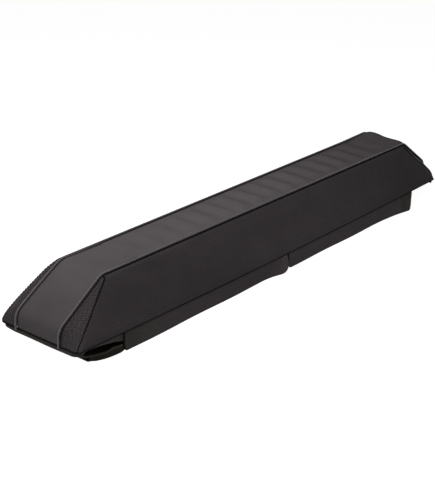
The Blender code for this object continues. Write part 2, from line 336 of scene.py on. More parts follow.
def grid_mesh(name, points, cloth=None, around=False, centre=pad_middle):
    """A mesh of quads over a grid of points, turned so that it faces away from centre, with cloth
    coordinates in metres as its UV map. around joins the last column to the first."""
    rows, columns = points.shape[:2]
    cells = columns if around else columns - 1
    i, j = np.meshgrid(np.arange(rows - 1), np.arange(cells), indexing="ij")
    k = (j + 1) % columns
    quads = np.stack([i * columns + j, (i + 1) * columns + j, (i + 1) * columns + k, i * columns + k], 2)
    quads = quads.reshape(-1, 4)
    flat = points.reshape(-1, 3)
    first = flat[quads[:, 1]] - flat[quads[:, 0]]
    normal = np.cross(first, flat[quads[:, 3]] - flat[quads[:, 0]])
    middle = flat[quads].mean(axis=1)
    inside = np.array(centre)
    if around:
        ring = points.mean(axis=1)
        inside = np.repeat((ring[:-1] + ring[1:]) / 2, cells, axis=0)
    if (normal * (middle - inside)).sum() < 0:
        quads = quads[:, ::-1]
    mesh = bpy.data.meshes.new(name)
    mesh.from_pydata(flat.tolist(), [], quads.tolist())
    if cloth is not None:
        layer = mesh.uv_layers.new(name="cloth")
        corners = np.zeros(len(mesh.loops), int)
        mesh.loops.foreach_get("vertex_index", corners)
        layer.data.foreach_set("uv", cloth.reshape(-1, 2)[corners].ravel())
    mesh.shade_smooth()
    return mesh


def feed(bare, shader, colour, height, depth, roughness=None):
    """Wires a colour, a bump of this depth in metres and a roughness into a Principled shader."""
    bare.tree.links.new(colour.socket, shader.inputs["Base Color"])
    bump = bare.node("ShaderNodeBump", {}, {"Height": height, "Distance": depth, "Strength": 1.0})
    bare.tree.links.new(bump.socket, shader.inputs["Normal"])
    if roughness is not None:
        bare.tree.links.new(roughness.socket, shader.inputs["Roughness"])


def wear(mesh_object, finish, slot, *nodes):
    """Links a finished piece, gives it its finish, and puts it in place of its nodes. slot is not used.
    """
    scene.collection.objects.link(mesh_object)
    mesh_object.data.materials.append(finish)
    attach(mesh_object, "root")
    if nodes:
        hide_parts(*nodes)
    return mesh_object


core_inset = 0.0024
foam_finish = bpy.data.materials.new("closed-cell foam")
bare = studio_tree(foam_finish)
foam_shader = bare.tree.nodes.new("ShaderNodeBsdfPrincipled")
foam_shader.inputs["Roughness"].default_value = 0.9
bare.node("ShaderNodeOutputMaterial", {}, {"Surface": Wire(bare.tree, foam_shader.outputs[0])})
place = bare.node("ShaderNodeTexCoord", {}, {}, "Object")
cells = bare.node("ShaderNodeTexVoronoi", {}, {"Vector": place, "Scale": 900.0})
foam_colour = cells.mixed((0.03, 0.03, 0.032), (0.055, 0.055, 0.058))
feed(bare, foam_shader, foam_colour, cells, 0.0003)


def foam_block():
    """Closed rings in plan, stacked from the base to the top, then drawn in to a line at both ends
    of the stack. Each ring runs from nose to gusset to long side, four times mirrored."""
    height = np.linspace(core_inset, pad_height - core_inset, 26)
    end_x = strip_reach(height) - core_inset
    corner_x = np.minimum(seam_reach(height) - core_inset, end_x)
    corner_y = np.interp(height, heights, side_out) - core_inset
    strip_y = half_strip - core_inset
    share = np.linspace(0, 1, 9)[None, :]
    nose = spread(end_x[:, None], strip_y * share)
    gusset_x = end_x[:, None] + (corner_x - end_x)[:, None] * share
    gusset_y = strip_y + (corner_y - strip_y)[:, None] * share
    gusset = spread(gusset_x, gusset_y)[:, 1:]
    flank_x = corner_x[:, None] * (1 - np.linspace(0, 1, 41))[None, :]
    flank = spread(flank_x, corner_y[:, None])[:, 1:]
    quarter = np.concatenate([nose, gusset, flank], 1)
    half = np.concatenate([quarter, (quarter * (-1, 1))[:, -2::-1]], 1)
    ring = np.concatenate([half, (half * (1, -1))[:, -2:0:-1]], 1)
    stack = spread(ring[..., 0], ring[..., 1], base_z + height[:, None])
    top = [stack[-1:] * (1, s, 1) for s in (0.6, 0.2, 0.0)]
    floor_rings = [stack[:1] * (1, s, 1) for s in (0.0, 0.3, 0.7)]
    return np.concatenate([*floor_rings, stack, *top])


foam_mesh = grid_mesh("foam_block", settled(foam_block()), around=True)
foam = bpy.data.objects.new("foam_block", foam_mesh)
wear(foam, foam_finish, "foam", "foam_core")


# Grip strip: one length of coated fabric over both noses, both slopes and the top. Soft ribs are
# welded across its top, and its edges roll down into the piped seams. The foam inside swells it
# between its seams, as it does the other panels.

cover_thickness = 0.0014
rib_pitch = 0.0326
first_crest = 0.0206
rib_height = 0.0024
rib_fade = 0.010
strip_swell = 0.0009
foam_push = 4.0
swell_frames = 20


def cloth_finish(name, roughness, gloss, sheen=0.0):
    """A new cloth finish: its bare tree, its Principled shader, and its UV map's two distances in
    metres, the first along the piece and the second over its width."""
    finish = bpy.data.materials.new(name)
    bare = studio_tree(finish)
    shader = bare.tree.nodes.new("ShaderNodeBsdfPrincipled")
    shader.inputs["Roughness"].default_value = roughness
    shader.inputs["Sheen Weight"].default_value = sheen
    shader.inputs["Specular IOR Level"].default_value = gloss
    bare.node("ShaderNodeOutputMaterial", {}, {"Surface": Wire(bare.tree, shader.outputs[0])})
    uv = bare.node("ShaderNodeUVMap", {"uv_map": "cloth"}, {})
    split = bare.node("ShaderNodeSeparateXYZ", {}, {0: uv})
    crosswise = Wire(bare.tree, split.socket.node.outputs[1])
    return finish, bare, shader, split, crosswise


def object_noise(bare, scale, detail=2.0, roughness=0.5):
    """Cloudy noise from 0 to 1 that is fixed to the object."""
    place = bare.node("ShaderNodeTexCoord", {}, {}, "Object")
    settings = {"Vector": place, "Scale": scale, "Detail": detail, "Roughness": roughness}
    return bare.node("ShaderNodeTexNoise", {}, settings)


grip_finish, bare, shader, lengthwise, _ = cloth_finish("coated grip fabric", 0.6, 0.0)
place = bare.node("ShaderNodeTexCoord", {}, {}, "Object")
settings = {"Vector": place, "Scale": 1100.0, "Smoothness": 0.6}
pebbles = bare.node("ShaderNodeTexVoronoi", {"feature": "SMOOTH_F1"}, settings)
clouds = object_noise(bare, 26.0, 3.0)
scuffs = object_noise(bare, 260.0, 4.0, 0.7).clamped(0.62, 0.8)
grain = object_noise(bare, 1700.0, 2.0)
# Painted shade: the strip is coloured darker over its first 2 to 9 cm from the near base seam, low on
# the near nose.
painted_nose_shade = 1 - lengthwise.clamped(0.02, 0.09)
tone = clouds * 0.6 + grain * 0.25 + scuffs * 0.15 - painted_nose_shade * 0.28
grip_colour = tone.mixed((0.093, 0.0828, 0.0846), (0.145, 0.1290, 0.1320))
shine = clouds * 0.1 + scuffs * 0.06 + 0.44
feed(bare, shader, grip_colour, pebbles * 0.7 + grain * 0.3, 0.00022, shine)


def distance_along(line):
    """How far along a line of points each one lies."""
    return np.linalg.norm(np.diff(line, axis=0, prepend=line[:1]), axis=1).cumsum()


def even_line(line, count):
    """Points at equal steps along a line, and how far along it each one lies."""
    along = distance_along(line)
    there = np.linspace(0, along[-1], count)
    return np.stack([np.interp(there, along, line[:, k]) for k in range(line.shape[1])], 1), there


def strip_grid(rows=421, columns=27):
    """The grip strip with rows from the near nose to the far one and columns from front to rear."""
    line, along = even_line(strip_line(0), rows)
    y = np.linspace(0.0015 - half_strip, half_strip - 0.0015, columns)
    return spread(line[:, :1], y, base_z + line[:, 1:]), spread(along[:, None], y)


def grid_normals(points):
    """The unit normal at each point of a grid, across its rows and columns."""
    normal = np.cross(np.gradient(points, axis=0), np.gradient(points, axis=1))
    return normal / np.maximum(np.linalg.norm(normal, axis=2, keepdims=True), 1e-12)


def outward_normals(points):
    """Grid normals that point away from the pad's middle."""
    normal = grid_normals(points)
    if (normal.mean(axis=(0, 1)) * (points.mean(axis=(0, 1)) - pad_middle)).sum() < 0:
        return -normal
    return normal


def swelled(points, cap):
    """The same grid after its cloth, held along all four edges as by its seams, has swelled outward
    for twenty frames. A point moves by the cap times the hyperbolic tangent of its move over it."""
    piece = bpy.data.objects.new("swelling", grid_mesh("swelling", points))
    scene.collection.objects.link(piece)
    edge = np.ones(points.shape[:2], bool)
    edge[1:-1, 1:-1] = False
    held = piece.vertex_groups.new(name="seams")
    held.add(np.flatnonzero(edge.ravel()).tolist(), 1.0, "REPLACE")
    settings = piece.modifiers.new("cloth", "CLOTH").settings
    settings.vertex_group_mass = "seams"
    settings.use_pressure = True
    settings.uniform_pressure_force = foam_push
    settings.effector_weights.gravity = 0
    for step in range(1, swell_frames + 1):
        scene.frame_set(step)
    mesh = piece.evaluated_get(bpy.context.evaluated_depsgraph_get()).to_mesh()
    found = np.empty(points.size)
    mesh.vertices.foreach_get("co", found)
    bpy.data.objects.remove(piece)
    scene.frame_set(1)
    move = found.reshape(points.shape) - points
    length = np.maximum(np.linalg.norm(move, axis=2, keepdims=True), 1e-9)
    return points + move * cap * np.tanh(length / cap) / length


def ribbed_strip(points):
    """The strip raised by the ribs, each a rounded hump across the top that fades towards the
    piping, and lowered where its edges roll into the seams."""
    x, y = points[..., 0], np.abs(points[..., 1])
    edge = half_strip - 0.0015
    hump = 0.5 + 0.5 * np.cos(2 * math.pi * (x - first_crest) / rib_pitch)
    side_fade = 1 - np.exp(-((edge - y) / rib_fade) ** 2)
    end_fade = np.interp(x, [-0.30, -0.10, 0.05, 0.23, 0.30], [0.0, 1.25, 1.3, 1.05, 0.0])
    roll = 0.0004 * np.exp(-(edge - y) / 0.0012)
    lift = rib_height * hump * side_fade * end_fade - roll
    return points + outward_normals(points) * lift[..., None]


def sewn_cloth(name, points, cloth, thickness, finish, slot, node, centre=pad_middle):
    """A sheet of cloth whose outer face is this grid, with its thickness turned inward."""
    piece = bpy.data.objects.new(name, grid_mesh(name, points, cloth, centre=centre))
    wall = piece.modifiers.new("thickness", "SOLIDIFY")
    wall.thickness = thickness
    wall.offset = -1
    return wear(piece, finish, slot, node)


swell = swelled
strip_flat, strip_cloth = strip_grid()
strip_form = settled(ribbed_strip(swell(strip_flat, strip_swell)))
strip = sewn_cloth(
    "grip_strip", strip_form, strip_cloth, cover_thickness, grip_finish, "grip_fabric", "top_panel"
)


# Long sides: heavy basket weave, cut as a trapezium, held by the piping above, the end seams and the
# base seam. Short puckers stand across each seam.

seam_gap = 0.0005
piping_clear = 0.0021
corner_radius = 0.007
side_swell = 0.0026


def basket_weave(lengthwise, crosswise, pitch):
    """Height of a basket weave, from 0 to 1: square cells of this pitch, in which two threads run
    along and two across in turn, each one a half round that dips where it goes under."""
    a, b = lengthwise / pitch, crosswise / pitch
    turn = (a.math("FLOOR") + b.math("FLOOR")).math("FLOORED_MODULO", 2.0)
    thread_a, thread_b = ((way * (2 * math.pi)).math("SINE").math("ABSOLUTE") for way in (a, b))
    arch_a, arch_b = ((way * math.pi).math("SINE").math("ABSOLUTE") * 0.5 + 0.5 for way in (a, b))
    return thread_a * arch_b * turn + thread_b * arch_a * (1 - turn)


def ridged(distance, pitch):
    """Height of even ridges along a distance, from 0 to 1: half a sine of this pitch, plus a half."""
    return (distance * (2 * math.pi / pitch)).math("SINE") * 0.5 + 0.5


side_finish, bare, shader, lengthwise, crosswise = cloth_finish("side basket weave", 0.8, 0.08)
weave = basket_weave(lengthwise, crosswise, 0.0046)
clouds = object_noise(bare, 18.0, 3.0)
slubs = object_noise(bare, 420.0, 3.0, 0.6)
bars = ridged(lengthwise, 0.0039)
patches = object_noise(bare, 34.0, 2.0).clamped(0.40, 0.62)
gathered = crosswise.clamped(0.048, 0.062) * patches * (0.06 - lengthwise).clamped(0.0, 0.14)
broad = object_noise(bare, 7.0, 3.0, 0.6)
# Painted light: each side is coloured paler low down in its middle, for the light on its swelled form.
low_down = (1 - crosswise * 9).clamped(0.0, 1.0)
painted_swell_light = (1 - lengthwise * lengthwise * 9).clamped(0.0, 1.2) * low_down
tone = weave * 0.12 + clouds * 0.28 + broad * 0.55 + slubs * 0.12 + (bars - 0.35) * gathered * 0.4
tone = tone + painted_swell_light * 0.22 - 0.10
side_colour = tone.mixed((0.020, 0.0170, 0.0176), (0.088, 0.0760, 0.0785))
side_relief = weave * 0.6 + slubs * 0.2 + bars * gathered * 0.5
feed(bare, shader, side_colour, side_relief, 0.0004, 0.86 - weave * 0.16)


def foot_drop(x):
    """How far the base seam of a long side lies below the base's plane, most at the middle."""
    return 0.0032 * (1 - (x / half_length) ** 2) - 0.0006


strip_corner = spread(strip_reach(heights), half_strip)
seam_corner = spread(seam_reach(heights), side_out)
gusset_width = np.linalg.norm(strip_corner - seam_corner, axis=1)
gusset_way = (strip_corner - seam_corner) / np.maximum(gusset_width, 1e-6)[:, None]
gusset_way[-1] = gusset_way[-2]
gusset_side = spread(gusset_way[:, 1], -gusset_way[:, 0])
half_turn = (math.pi - np.arccos(np.clip(-gusset_way[:, 0], -1, 1))) / 2
seam_round = corner_radius * np.clip(gusset_width / 0.03, 0.02, 1)


def past_corner(distance, height, blend_length):
    """For cloth at this distance from the end seam, in plan: how far along its own straight line it
    lies from the sharp corner, and how far inside that line, so that the corner is an arc."""
    turn = np.interp(height, heights, half_turn)
    radius = np.interp(height, heights, seam_round)
    arc = radius * turn
    spare = radius * np.tan(turn) - arc
    angle = np.clip(turn - distance / radius, 0, None)
    fade = np.clip(1 - (distance - arc) / blend_length, 0, 1)
    straight = distance + spare * fade
    rounded = radius * np.tan(turn) - radius * np.sin(angle)
    return np.where(distance < arc, rounded, straight), radius * (1 - np.cos(angle))


def side_grid(rows=301, columns=34):
    """The front long side, with rows along x and columns from the base seam to the piping, and its
    cloth coordinates. Its foot kicks out where the seam allowance is folded under it."""
    profile, climbed = even_line(side_line(0)[::-1], columns)
    rise = climbed[-1] - piping_clear
    share = np.linspace(0, rise, columns)
    out = np.interp(share, climbed, profile[:, 0])
    z = np.interp(share, climbed, profile[:, 1])
    t = np.linspace(-1, 1, rows)
    t = 0.5 * (t + np.sin(math.pi * t / 2))
    limit = seam_reach(z) - seam_gap
    distance = (1 - np.abs(t))[:, None] * limit[None, :]
    beyond, inward = past_corner(distance, z, 0.06)
    x = np.sign(t)[:, None] * (seam_reach(z) - beyond)
    x[rows // 2] = 0
    drop = foot_drop(x) * (1 - z / pad_height) ** 2
    kick = 0.0009 * np.exp(-share / 0.002)
    y = -(out + kick - inward)
    return spread(x, y, base_z + z - drop), spread(x, share)


def mirrored(points, across_x, across_y):
    """The same piece at the other end, on the other side or both."""
    return points * (-1 if across_x else 1, -1 if across_y else 1, 1)


def area_of(points):
    """The area of a grid of points, in square metres."""
    a = points[1:, :-1] - points[:-1, :-1]
    b = points[:-1, 1:] - points[:-1, :-1]
    return float(np.linalg.norm(np.cross(a, b), axis=2).sum())


wrinkle_seed = np.random.default_rng(7)
side_waves = wrinkle_seed.uniform(-1, 1, (6, 3))


def soft_wrinkles(points, size):
    """Small slow waves over a panel: six crossed sine waves of seeded lengths and phases."""
    x, z = points[..., 0], points[..., 2]
    total = 0
    for length, slant, phase in side_waves:
        total = total + np.sin(x * (62 + 34 * length) + z * (70 * slant) + 6 * phase)
    return size * total / 6


def side_detail(points, cloth, seed_shift):
    """Wrinkles over the panel, a roll into each seam and puckers that fade within a centimetre."""
    climbed = cloth[..., 1]
    top = climbed.max() - climbed
    x = points[..., 0]
    ends = np.minimum(np.abs(x[:1] - x), np.abs(x[-1:] - x))
    pucker = np.sin(x * 2 * math.pi / 0.0047 + seed_shift)
    pucker = pucker * (0.6 + 0.4 * np.sin(x * 131 + seed_shift))
    near_seam = 0.00018 * np.exp(-top / 0.0045) + 0.00016 * np.exp(-climbed / 0.004)
    roll = 0.0009 * np.exp(-top / 0.0010) + 0.0009 * np.exp(-ends / 0.0012)
    calm = np.clip(ends / 0.02, 0, 1) * np.clip(climbed / 0.01, 0, 1) * np.clip(top / 0.01, 0, 1)
    shift = soft_wrinkles(points + seed_shift, 0.0008) * calm + pucker * near_seam - roll
    return points + outward_normals(points) * shift[..., None]


side_flat, side_cloth = side_grid()
side_form = swell(side_flat, side_swell)
side_area = area_of(side_flat)
for name, node, flip, shift in (
    ("front_side", "front_side_panel", False, 0.0),
    ("rear_side", "rear_side_panel", True, 2.1),
):
    shaped = settled(side_detail(mirrored(side_form, False, flip), side_cloth, shift))
    side = sewn_cloth(name, shaped, side_cloth, cover_thickness, side_finish, "side_weave", node)


# Corner gussets: four near-triangular pieces of a coarser weave between slope and side. The cloth
# gathers in fine ridges along the piping.

gusset_swell = 0.0011
gusset_finish, bare, shader, lengthwise, crosswise = cloth_finish("gusset basket weave", 0.8, 0.08)
uneven = object_noise(bare, 330.0, 2.0)
weave = basket_weave(lengthwise + uneven * 0.0035, crosswise - uneven * 0.003, 0.0050)
clouds = object_noise(bare, 40.0, 3.0)
slubs = object_noise(bare, 500.0, 3.0, 0.6)
tone = weave * 0.42 + clouds * 0.18 + slubs * 0.4
gusset_colour = tone.mixed((0.006, 0.0051, 0.0053), (0.102, 0.0890, 0.0918))
feed(bare, shader, gusset_colour, weave * 0.75 + slubs * 0.25, 0.0005, 0.86 - weave * 0.16)


def gusset_grid():
    """The near front gusset, with rows from the base to its top and columns from the end seam to the
    piping, and its cloth coordinates."""
    t = np.linspace(0, 1, 25) ** 1.3
    width = np.maximum(gusset_width, 1e-5)
    start = np.minimum(seam_gap, 0.2 * width)
    end = width - np.minimum(piping_clear, 0.6 * width)
    distance = start[:, None] + t[None, :] * (end - start)[:, None]
    height = heights[:, None]
    beyond, inward = past_corner(distance, height, np.maximum(width, 0.004)[:, None])
    plan = seam_corner[:, None] + gusset_way[:, None] * beyond[..., None]
    plan = plan + gusset_side[:, None] * inward[..., None]
    points = spread(-plan[..., 0], -plan[..., 1], base_z + height)
    return points, spread(plan[..., 1], height / math.sin(slope_angle))


def gusset_detail(points, seed_shift):
    """Ridges square to the piping that fade within a centimetre, and rolls into both seams."""
    to_piping = np.linalg.norm(points - points[:, -1:, :], axis=2)
    to_seam = np.linalg.norm(points - points[:, :1, :], axis=2)
    rung = distance_along(points[:, -1])[:, None]
    ridge = np.sin(rung * 2 * math.pi / 0.0042 + 40 * to_piping + seed_shift)
    ridge = ridge * (0.6 + 0.4 * np.sin(rung * 171)) * np.exp(-to_piping / 0.009)
    roll = 0.0008 * np.exp(-to_piping / 0.001) + 0.0009 * np.exp(-to_seam / 0.0012)
    size = np.clip(to_seam[:, -1:] / 0.01, 0, 1)
    shift = 0.00042 * ridge * size - roll * size
    return points + outward_normals(points) * shift[..., None]


gusset_flat, gusset_cloth = gusset_grid()
gusset_form = swell(gusset_flat, gusset_swell)
for end, across_x in (("near", False), ("far", True)):
    for side_name, across_y in (("front", False), ("rear", True)):
        turned = mirrored(gusset_form, across_x, across_y)
        shaped = settled(gusset_detail(turned, 1.0 * across_x + 2.0 * across_y))
        gusset = sewn_cloth(
            f"{end}_{side_name}_corner", shaped, gusset_cloth, cover_thickness,
            gusset_finish, "gusset_weave", f"{end}_{side_name}_gusset",
        )
        cut = area_of(settled(turned))


# Piping: a cord folded into a strip of coated fabric and sewn into both edges of the grip strip,
# from one base seam to the other, with a dark seam line along its outer side and its inner side,
# which is painted shade in the seam grooves. The cord's colour has painted light on the near nose
# and slope.

piping_radius = 0.0013
piping_lift = 0.0009


def tube(path, radius, reference, sides):
    """A closed round tube along a path, with rounded tips. reference is a direction that is never
    along the path, and radius may differ from point to point."""
    way = unit(np.gradient(path, axis=0))
    side = unit(reference - way * (way @ reference)[:, None])
    rise = np.cross(way, side)
    radius = np.broadcast_to(np.asarray(radius, float), len(path)).copy()
    angle = np.linspace(0, 2 * math.pi, sides, endpoint=False)[None, :, None]
    ring = np.cos(angle) * side[:, None] + np.sin(angle) * rise[:, None]
    body = path[:, None] + ring * radius[:, None, None]
    tips = []
    for k, sign in ((0, -1), (-1, 1)):
        for reach, width in ((0.7, 0.7), (1.0, 0.0)):
            centre = path[k] + sign * way[k] * radius[k] * reach
            tips.append((centre + ring[k] * radius[k] * width)[None])
    return np.concatenate([tips[1], tips[0], body, tips[2], tips[3]])


def tube_cloth(points):
    """Cloth coordinates for a tube: along it, and round it."""
    along = distance_along(points.mean(axis=1))
    round_it = distance_along(points[len(points) // 2])
    return spread(along[:, None], round_it)


def tube_piece(name, points, finish, slot, *nodes):
    """A tube as a piece of its own."""
    mesh = grid_mesh(name, points, tube_cloth(points), around=True)
    return wear(bpy.data.objects.new(name, mesh), finish, slot, *nodes)


piping_finish, bare, shader, lengthwise, _ = cloth_finish("coated piping", 0.5, 0.2)
folds = ridged(lengthwise, 0.0042)
grain = object_noise(bare, 1500.0, 2.0)
# Painted light: the cord is coloured lighter along the near nose and slope, and darker from 24 cm along
# it on.
painted_light_fade = lengthwise.clamped(0.05, 0.24)
tone = folds * 0.4 + grain * 0.6
piping_colour = painted_light_fade.mixed(
    tone.mixed((0.092, 0.0830, 0.0845), (0.140, 0.1260, 0.1290)),
    tone.mixed((0.060, 0.0535, 0.0548), (0.090, 0.0805, 0.0823)),
)
feed(bare, shader, piping_colour, folds * 0.5 + grain * 0.5, 0.00015, grain * 0.12 + 0.4)

# The seam tubes are coloured near-black: partly the seams' own dark stitching, partly painted shade in
# their grooves and under the sides' feet.
seam_shade_finish, bare, shader, lengthwise, _ = cloth_finish("seam allowance", 0.95, 0.0)
ridges = ridged(lengthwise, 0.0038)
painted_seam_shade = ridges.mixed((0.008, 0.0072, 0.0072), (0.018, 0.0160, 0.0160))
feed(bare, shader, painted_seam_shade, ridges, 0.0003)


def seam_piece(name, path, radius, reference=(0, 1, 0), finish=seam_shade_finish):
    """A thin tube along a seam, for the turned-in and stitched edges of the cloth, dark with painted
    shade in the seam's groove.
    """
    tube_piece(name, tube(path, radius, reference, 8), finish, "side_weave")


# Painted shade in the seam grooves on both sides of the piping: near-black along the top and far end,
# lighter along the near nose and slope.
piping_shade_finish, bare, shader, lengthwise, _ = cloth_finish("painted shade along the piping seams", 0.95, 0.0)
ridges = ridged(lengthwise, 0.0042)
painted_piping_shade = lengthwise.clamped(0.085, 0.115).mixed(
    ridges.mixed((0.018, 0.0158, 0.0160), (0.040, 0.0352, 0.0360)),
    ridges.mixed((0.008, 0.0072, 0.0072), (0.018, 0.0160, 0.0160)),
)
feed(bare, shader, painted_piping_shade, ridges, 0.0003)


def along_strip(outward, y, first_height):
    """Points along the strip's edge at this distance outside it, from one base seam to the other."""
    line = strip_line(outward)
    line[[0, -1], 1] = first_height
    line = even_line(line, 380)[0]
    return settled(spread(line[:, 0], y, base_z + line[:, 1]))


for side_name, sign in (("front", -1), ("rear", 1)):
    path = along_strip(piping_lift, sign * half_strip, -0.0015)
    plump = piping_radius * (1 + 0.03 * np.sin(np.arange(len(path)) * 2.9))
    cord_tube = tube(path, plump, (0, 1, 0), 14)
    tube_piece(
        f"{side_name}_edge_piping", cord_tube, piping_finish, "piping_cord", f"{side_name}_piping"
    )
    for sunk, place in (("outer", 0.0018), ("inner", -0.0014)):
        seam_path = along_strip(-0.0006, sign * (half_strip + place), 0.0002)
        seam_piece(f"{side_name}_{sunk}_seam", seam_path, 0.0006, finish=piping_shade_finish)


# End seams: where a long side meets a gusset, the two are turned in and stitched, which leaves a
# line with small lumps from stitch to stitch, dark partly with its own stitching and partly with painted
# shade.

for end, across_x in (("near", False), ("far", True)):
    for side_name, across_y in (("front", False), ("rear", True)):
        beyond, inward = past_corner(np.zeros(len(heights)), heights, 1.0)
        plan = seam_corner + gusset_way * beyond[:, None] + gusset_side * inward[:, None]
        line = spread(-plan[:, 0], -plan[:, 1], base_z + heights)[1:-1]
        line, along = even_line(mirrored(line, across_x, across_y), 120)
        line = settled(line * (1 - 0.0011 / half_length, 1 - 0.0012 / half_base, 1))
        lumps = 0.0010 * (1 + 0.35 * np.sin(along * 2 * math.pi / 0.0038))
        seam_piece(f"{end}_{side_name}_end_seam", line, lumps)


# Foot seams: the lower edge of each long side is turned under and stitched to the base, which leaves a
# line along the pad that hangs lowest at the middle, dark with the painted shadow under the side's foot.

for side_name, sign in (("front", -1), ("rear", 1)):
    x = np.linspace(0.006 - half_length, half_length - 0.006, 400)
    foot_line = spread(x, sign * (half_base + 0.0002), base_z - foot_drop(x) - 0.0006)
    seam_piece(f"{side_name}_foot_seam", settled(foot_line), 0.0008)


# Base: a plain woven panel that closes the cover under the foam and lies on the crossbar. It sags a
# little between its seams.

base_thickness = 0.0014


def plain_cloth(name, gloss, dark, light, depth):
    """A new finish of fine woven cloth, whose tone varies with its threads and in slow clouds."""
    finish, bare, shader, lengthwise, crosswise = cloth_finish(name, 0.85, gloss)
    weave = basket_weave(lengthwise, crosswise, 0.0016)
    tone = weave * 0.6 + object_noise(bare, 30.0, 3.0) * 0.4
    feed(bare, shader, tone.mixed(dark, light), weave, depth, 0.92 - weave * 0.1)
    return finish


base_finish = plain_cloth("base cloth", 0.08, (0.016, 0.016, 0.017), (0.036, 0.036, 0.038), 0.0002)


def base_grid():
    """The base panel, which sags a little between its seams in slow waves along its length."""
    x = np.linspace(base_low[0], base_high[0], 151)[:, None]
    y = np.linspace(base_low[1], base_high[1], 25)[None, :]
    sag = 0.0004 * np.cos(math.pi * y / (base_high[1] - base_low[1])) * (0.6 + 0.4 * np.sin(x * 45))
    return spread(x, y, base_z - sag), spread(x, y)


base_points, base_cloth = base_grid()
base_sheet = sewn_cloth(
    "base_cloth", base_points, base_cloth, base_thickness, base_finish, "base_fabric", "base_panel",
    (0, 0, 0.05),
)


# End bindings: a ribbed tape folded over the base seam under each nose, where it hangs as a short
# lip and turns back a little round the corners.

tape_finish, bare, shader, lengthwise, crosswise = cloth_finish("ribbed binding tape", 0.7, 0.12)
rib_lines = ridged(crosswise, 0.0011)
picks = ridged(lengthwise, 0.0008)
clouds = object_noise(bare, 60.0, 3.0)
tone = rib_lines * 0.5 + picks * 0.2 + clouds * 0.3
tape_colour = tone.mixed((0.012, 0.0104, 0.0098), (0.044, 0.0385, 0.0360))
feed(bare, shader, tape_colour, rib_lines * 0.7 + picks * 0.3, 0.0002, 0.8 - rib_lines * 0.15)

lip_low, lip_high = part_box("near_end_binding")
lip_radius = 0.0034
far_lip_up = 0.0012


def lip_points(sign):
    """A fold of tape carried along the nose and round both corners. Its section is an upright oval,
    two fifths as thick as it is high, which tapers over the tape's two ends. sign is -1 for the near
    end and 1 for the far one."""
    y_end = lip_high[1]
    x_out = half_length - 0.0015
    corners = [(x_out - 0.014, -y_end), (x_out, -y_end), (x_out, y_end), (x_out - 0.014, y_end)]
    plan, along = even_line(rounded_line(corners, [0.008, 0.008], 14), 140)
    height = (lip_high[2] + lip_low[2]) / 2 - 0.0009 + 0.0002 * np.sin(along * 90)
    height = height + (far_lip_up if sign > 0 else 0)
    path = spread(plan[:, 0], plan[:, 1], height)
    taper = np.clip(np.minimum(along / 0.006, (along[-1] - along) / 0.030), 0.2, 1)
    points = tube(path, lip_radius * taper, (0, 0, 1), 16)
    body = points[2:-2]
    flat_way = unit(spread(np.gradient(plan[:, 1]), -np.gradient(plan[:, 0])))
    outward = ((body - path[:, None])[..., :2] * flat_way[:, None]).sum(axis=2, keepdims=True)
    body[..., :2] -= outward * flat_way[:, None] * 0.6
    return settled(points * (sign, 1, 1))


for end, sign in (("near", -1), ("far", 1)):
    lip = tube_piece(f"{end}_nose_lip", lip_points(sign), tape_finish, "edge_tape", f"{end}_end_binding")


# Nose seams: the base seam under each nose, a stitched line above the lip, dark partly with its own
# stitching and partly with painted shade, which ends a little way round both corners.

for end, sign in (("near", -1), ("far", 1)):
    x_out = half_length + 0.0002
    y_end = half_base - 0.0004
    corners = [(x_out - 0.010, -y_end), (x_out, -y_end), (x_out, y_end), (x_out - 0.010, y_end)]
    plan = even_line(rounded_line(corners, [0.007, 0.007], 14), 160)[0]
    nose_line = spread(sign * plan[:, 0], plan[:, 1], base_z - 0.0002)
    seam_piece(f"{end}_nose_seam", settled(nose_line), 0.0008, (0, 0, 1))


# Root tapes: a flat ribbed tape sewn behind each long base seam, from which flaps and wraps hang. It
# shows at the near mouth, where it narrows towards the corner.

root_finish, bare, shader, _, crosswise = cloth_finish("root tape", 0.7, 0.12)
rib_lines = ridged(crosswise, 0.0013)
clouds = object_noise(bare, 60.0, 3.0)
root_colour = (rib_lines * 0.5 + clouds * 0.5).mixed((0.040, 0.0352, 0.0336), (0.092, 0.0815, 0.0775))
feed(bare, shader, root_colour, rib_lines, 0.0002, 0.82 - rib_lines * 0.12)

root_top = 0.0256
root_thickness = 0.0009
for side_name, sign in (("front", -1), ("rear", 1)):
    low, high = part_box(f"{side_name}_root_tape")
    x = np.linspace(low[0], high[0], 260)[:, None]
    narrowing = [-0.372, -0.361, -0.346, -0.322, -0.308]
    foot = np.interp(x, narrowing, [0.0230, 0.0228, 0.0216, 0.0174, 0.0134])
    t = np.linspace(0, 1, 9)[None, :]
    z = foot + (root_top - foot) * t
    outer = high[1] if sign > 0 else low[1]
    y = outer + sign * (0.00015 * np.sin(x * 70) - 0.0003 * (1 - t) ** 2)
    tape = sewn_cloth(
        f"{side_name}_root", spread(x, y, z), spread(x, z), root_thickness,
        root_finish, "edge_tape", f"{side_name}_root_tape",
    )


# Front flaps: two lengths of pack cloth that hang outside the base seam and cover the wraps. They
# are hemmed, their lower corners are rounded, and a slit parts them at the middle. Each flares a
# little at its far end.

